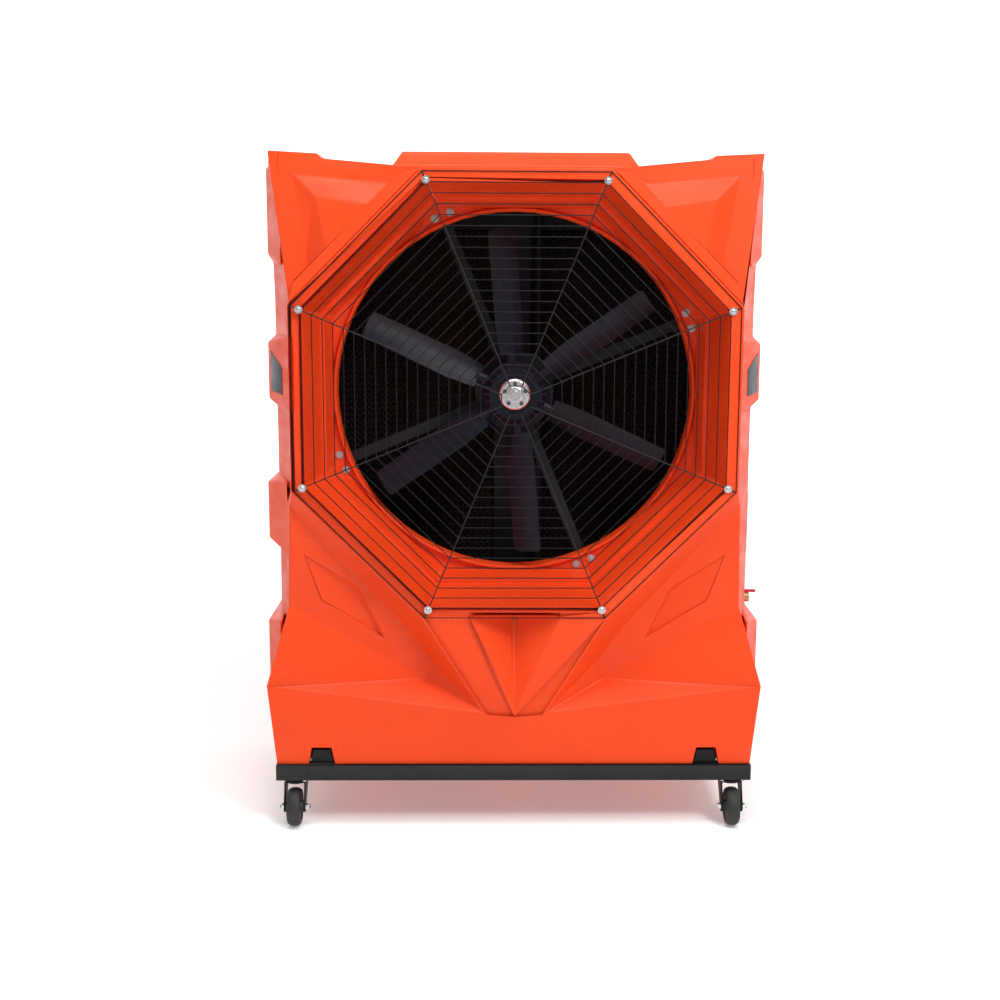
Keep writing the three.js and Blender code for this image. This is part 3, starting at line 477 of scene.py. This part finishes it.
def fluted_pad(side):
    """Sheets of corrugated paper on edge, the flutes of neighbouring sheets crossing."""
    node = f"cooling_pad_{side}"
    low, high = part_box(node)
    bm = bmesh.new()
    sheets = int((high.x - low.x) / SHEET_PITCH)
    steps = int((high.z - low.z) / FLUTE) * 4
    tilt = math.tan(math.radians(40)) * (high.y - low.y)
    for s in range(sheets):
        x = low.x + (s + 0.5) * (high.x - low.x) / sheets
        lean = tilt / 2 if s % 2 else -tilt / 2
        front, rear = [], []
        for k in range(steps + 1):
            z = low.z + (high.z - low.z) * k / steps
            wave = SHEET_PITCH * 0.735 * math.sin(2 * math.pi * k / 4 + math.pi / 4)
            down, up = (min(high.z, max(low.z, value)) for value in (z - lean, z + lean))
            front.append(bm.verts.new((x + wave, low.y + PAPER, down)))
            rear.append(bm.verts.new((x + wave, high.y - PAPER, up)))
        for k in range(steps):
            bm.faces.new((front[k], front[k + 1], rear[k + 1], rear[k]))
    bmesh.ops.dissolve_degenerate(bm, edges=bm.edges, dist=0.00005)
    pad = make(f"fluted_pad_{side}", bm, "pad_cellulose", "cabinet", 80)
    thick = pad.modifiers.new("paper", "SOLIDIFY")
    thick.thickness = PAPER
    thick.offset = 0
    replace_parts(pad, node)


# ---- fasteners and small work ----
RING_FACE_Y = AXIS.y + 30 * MM  # front of the plate around the fan hole
BOLT_CIRCLE = 495 * MM


def about_axis(radius, angle, y):
    """A point at a radius and angle about the fan axis."""
    return Vector((AXIS.x + radius * math.cos(angle), y, AXIS.z + radius * math.sin(angle)))


def guard_screws():
    """Domed zinc screws on washers."""
    for k in range(1, 9):
        node = f"guard_screw_{k}"
        place = middle(node)
        bm = bmesh.new()
        dome_bolt(bm, Vector((place.x, far("front_guard").y - 3.5 * MM, place.z)), (0, -1, 0), 6.6 * MM)
        turned(bm, [(0, 0), (3 * MM, 0), (3 * MM, 20 * MM), (0, 20 * MM)],
               facing(Vector((place.x, far("front_guard").y - 3 * MM, place.z)), (0, 1, 0)), 12)
        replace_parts(make(f"domed_screw_{k}", bm, "screws", "cabinet"), node)


def mount_bolts():
    """Pairs of bolts through the fan ring's plate, one pair at each motor arm."""
    bm = bmesh.new()
    for k in range(4):
        for aside in (-2.5, 2.5):
            a = math.radians(22.5 + 90 * k + aside)
            hex_bolt(bm, about_axis(BOLT_CIRCLE, a, RING_FACE_Y), (0, -1, 0), 7 * MM)
    make("motor_arm_bolts", bm, "zinc", "cabinet")


def hub_work():
    """Radial ribs and clamp bolts on the hub, small screws on its cap."""
    front = near("hub_front").y
    bm = bmesh.new()
    for k in range(24):
        a = math.radians(15 * k)
        turn = Matrix.Translation((AXIS.x, 0, AXIS.z)) @ Matrix.Rotation(-a, 4, "Y")
        block(bm, (45 * MM, front - 4 * MM, -2 * MM), (80 * MM, front + 24 * MM, 2 * MM), turn, 0.8 * MM)
    make("hub_ribs", bm, "blade_plastic", "fan")
    bm = bmesh.new()
    for k in range(6):
        a = math.radians(20 + 60 * k)
        hex_bolt(bm, about_axis(56 * MM, a, front), (0, -1, 0), 5 * MM)
    make("hub_clamp_bolts", bm, "blade_plastic", "fan")
    bm = bmesh.new()
    cap = near("hub_cap").y
    for k in range(5):
        a = math.radians(90 + 72 * k)
        dome_bolt(bm, about_axis(28 * MM, a, cap + 4.9 * MM), (0, -1, 0), 3.6 * MM)
    make("cap_screws", bm, "motor_paint", "fan")


def frame_work():
    """Weld beads at the tube joints and bolts along the front tube."""
    low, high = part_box("base_frame")
    bm = bmesh.new()
    for sx in (-1, 1):
        for y in (low.y, high.y):
            inward = 1 if y < 0 else -1
            seam = y + inward * 40 * MM
            for top in (low.z, high.z):
                beads = [(sx * (high.x - 2 * MM - k / 12 * 36 * MM), seam,
                          top + random.uniform(-0.3, 0.3) * MM) for k in range(13)]
                swept(bm, beads, 2.2 * MM, 8)
    make("weld_beads", bm, "frame_paint", "cabinet", 80)
    bm = bmesh.new()
    for x in (-532, 430):
        dome_bolt(bm, Vector((x * MM, low.y, (low.z + high.z) / 2)), (0, -1, 0), 5 * MM)
    make("front_tube_bolts", bm, "frame_paint", "cabinet")


def caster_work():
    """Plate bolts under each corner and nuts on each axle."""
    for corner in ("fl", "fr", "rl", "rr"):
        plate_low, plate_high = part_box(f"caster_plate_{corner}")
        centre = (plate_low + plate_high) / 2
        bm = bmesh.new()
        for dx in (-27, 27):
            for dy in (-36, 36):
                hex_bolt(bm, Vector((centre.x + dx * MM, centre.y + dy * MM, plate_high.z - 3.5 * MM)),
                         (0, 0, -1), 5.5 * MM)
        make(f"caster_bolts_{corner}", bm, "zinc", "cabinet")
        low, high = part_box(f"caster_axle_{corner}")
        hub = (low + high) / 2
        bm = bmesh.new()
        for sx, face in ((-1, low.x), (1, high.x)):
            place = Vector((face - sx * 0.5 * MM, hub.y, hub.z))
            hex_bolt(bm, place, (sx, 0, 0), 6.5 * MM, washer=False)
        make(f"axle_nuts_{corner}", bm, "zinc", f"fork_{corner}")


def rear_work():
    """Round wires over the rear grille and screws around the pad frame."""
    low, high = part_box("rear_grille")
    bm = bmesh.new()
    front, back = low.y + 1.3 * MM, high.y - 1.3 * MM
    across, up = 44, 70  # meshes of the grille
    for k in range(across + 1):
        x = low.x + 2 * MM + (high.x - low.x - 4 * MM) * k / across
        swept(bm, [(x, front, low.z + MM), (x, front, high.z - MM)], 1.3 * MM, 6)
    for k in range(up + 1):
        z = low.z + 2 * MM + (high.z - low.z - 4 * MM) * k / up
        swept(bm, [(low.x + MM, back, z), (high.x - MM, back, z)], 1.3 * MM, 6)
    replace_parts(make("rear_wire_grille", bm, "guard_wire", "cabinet"), "rear_grille")
    low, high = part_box("pad_frame")
    bm = bmesh.new()
    for k in range(7):
        for x in (low.x + 6 * MM, high.x - 6 * MM):
            dome_bolt(bm, Vector((x, high.y, low.z + 60 * MM + (high.z - low.z - 120 * MM) * k / 6)),
                      (0, 1, 0), 4 * MM, washer=False)
    make("pad_frame_screws", bm, "zinc", "cabinet")


# Edge radius of each softened CAD node, in millimetres
SOFT_EDGES = {
    "base_frame": 2.0, "hub_front": 1.2, "hub_rear": 1.2, "hub_cap": 1.0, "hold_down_left": 1.5,
    "hold_down_right": 1.5, "motor_body": 1.2, "motor_mount": 0.5, "pad_frame": 1.5, "control_panel": 1.2,
    "speed_knob": 0.8, "power_switch": 0.6, "pump_switch": 0.6, "inlet_lever": 1.0, "inlet_valve": 0.5,
    "drain_plug": 0.6, "cable_gland": 0.6, "water_header": 0.5, "riser_pipe": 0.4, "pump_body": 1.5,
    "motor_shaft": 0.5, "float_valve": 0.4, "float_arm": 0.4,
    **{f"fan_blade_{k}": 0.9 for k in range(1, 7)},
    **{f"caster_{part}_{corner}": width for corner in ("fl", "fr", "rl", "rr")
       for part, width in (("plate", 0.6), ("fork", 0.6), ("wheel", 1.0), ("axle", 0.4))},
}


# ---- stage ----
CAMERA_PLACE = (-60, -3500, 1459)
YAW, PITCH, ROLL = -1.036, 9.726, -0.3
LENS_MM = 50.86


def camera():
    data = bpy.data.cameras.new("camera")
    data.lens = LENS_MM
    data.sensor_width = 36
    data.shift_x = -0.0168
    data.shift_y = 0.0049
    made = bpy.data.objects.new("camera", data)
    bpy.context.scene.collection.objects.link(made)
    x, y, z = CAMERA_PLACE
    made.location = (x * MM, RIM_Y + y * MM, z * MM)
    yaw, pitch = math.radians(YAW), math.radians(PITCH)
    ahead = Vector((-math.sin(yaw) * math.cos(pitch), math.cos(yaw) * math.cos(pitch), -math.sin(pitch)))
    made.rotation_mode = "QUATERNION"
    turn = Matrix.Rotation(math.radians(ROLL), 3, ahead)
    made.rotation_quaternion = (turn @ ahead.to_track_quat("-Z", "Y").to_matrix()).to_quaternion()
    bpy.context.scene.camera = made


def area_light(name, place, target, size, power, colour=(1, 1, 1)):
    data = bpy.data.lights.new(name, "AREA")
    data.shape = "RECTANGLE"
    data.size, data.size_y = size
    data.energy = power
    data.color = colour
    made = bpy.data.objects.new(name, data)
    bpy.context.scene.collection.objects.link(made)
    made.location = place
    made.rotation_mode = "QUATERNION"
    made.rotation_quaternion = (Vector(target) - Vector(place)).to_track_quat("-Z", "Y")


def backdrop(y):
    """White wall of light behind the object."""
    bm = bmesh.new()
    bmesh.ops.create_grid(bm, x_segments=1, y_segments=1, size=14)
    mesh = bpy.data.meshes.new("backdrop")
    bm.to_mesh(mesh)
    bm.free()
    wall = bpy.data.objects.new("backdrop", mesh)
    bpy.context.scene.collection.objects.link(wall)
    made, _, principled, _ = shader("white_backdrop", (0.9, 0.9, 0.9), 0.9)
    principled.inputs["Emission Color"].default_value = (1, 1, 1, 1)
    principled.inputs["Emission Strength"].default_value = 1.0
    mesh.materials.append(made)
    wall.location = (0, y, 0)
    wall.rotation_euler = (math.radians(90), 0, 0)


def studio():
    """Pale floor, even pale surroundings and large soft lights, brightest from the upper right front."""
    bm = bmesh.new()
    bmesh.ops.create_grid(bm, x_segments=1, y_segments=1, size=30)
    mesh = bpy.data.meshes.new("floor")
    bm.to_mesh(mesh)
    bm.free()
    floor = bpy.data.objects.new("floor", mesh)
    bpy.context.scene.collection.objects.link(floor)
    made, _, principled, _ = shader("pale_floor", (0.9, 0.9, 0.9), 0.85)
    principled.inputs["Emission Color"].default_value = (1, 1, 1, 1)
    principled.inputs["Emission Strength"].default_value = 0.2
    mesh.materials.append(made)
    backdrop(6.0)
    floor.location.z = -0.5 * MM
    world = bpy.data.worlds.new("surround")
    world.use_nodes = True
    world.node_tree.nodes["Background"].inputs["Color"].default_value = (1, 1, 1, 1)
    world.node_tree.nodes["Background"].inputs["Strength"].default_value = 0.26
    bpy.context.scene.world = world
    target = (0, 0, 0.9)
    area_light("key", (2.4, -3.4, 4.4), target, (1.4, 1.4), 170)
    area_light("fill", (-3.0, -4.0, 1.8), target, (2.6, 2.6), 16)
    area_light("top", (-0.3, -1.6, 4.6), target, (2.4, 1.6), 110)
    bpy.context.scene.view_settings.view_transform = "Standard"


dress_nodes()
side_plates(rounded_shell())
wire_guard()
for pad_side in ("left", "right"):
    fluted_pad(pad_side)
guard_screws()
mount_bolts()
hub_work()
frame_work()
caster_work()
rear_work()
for soft_node, edge_mm in SOFT_EDGES.items():
    soften(soft_node, edge_mm * MM)
camera()
studio()
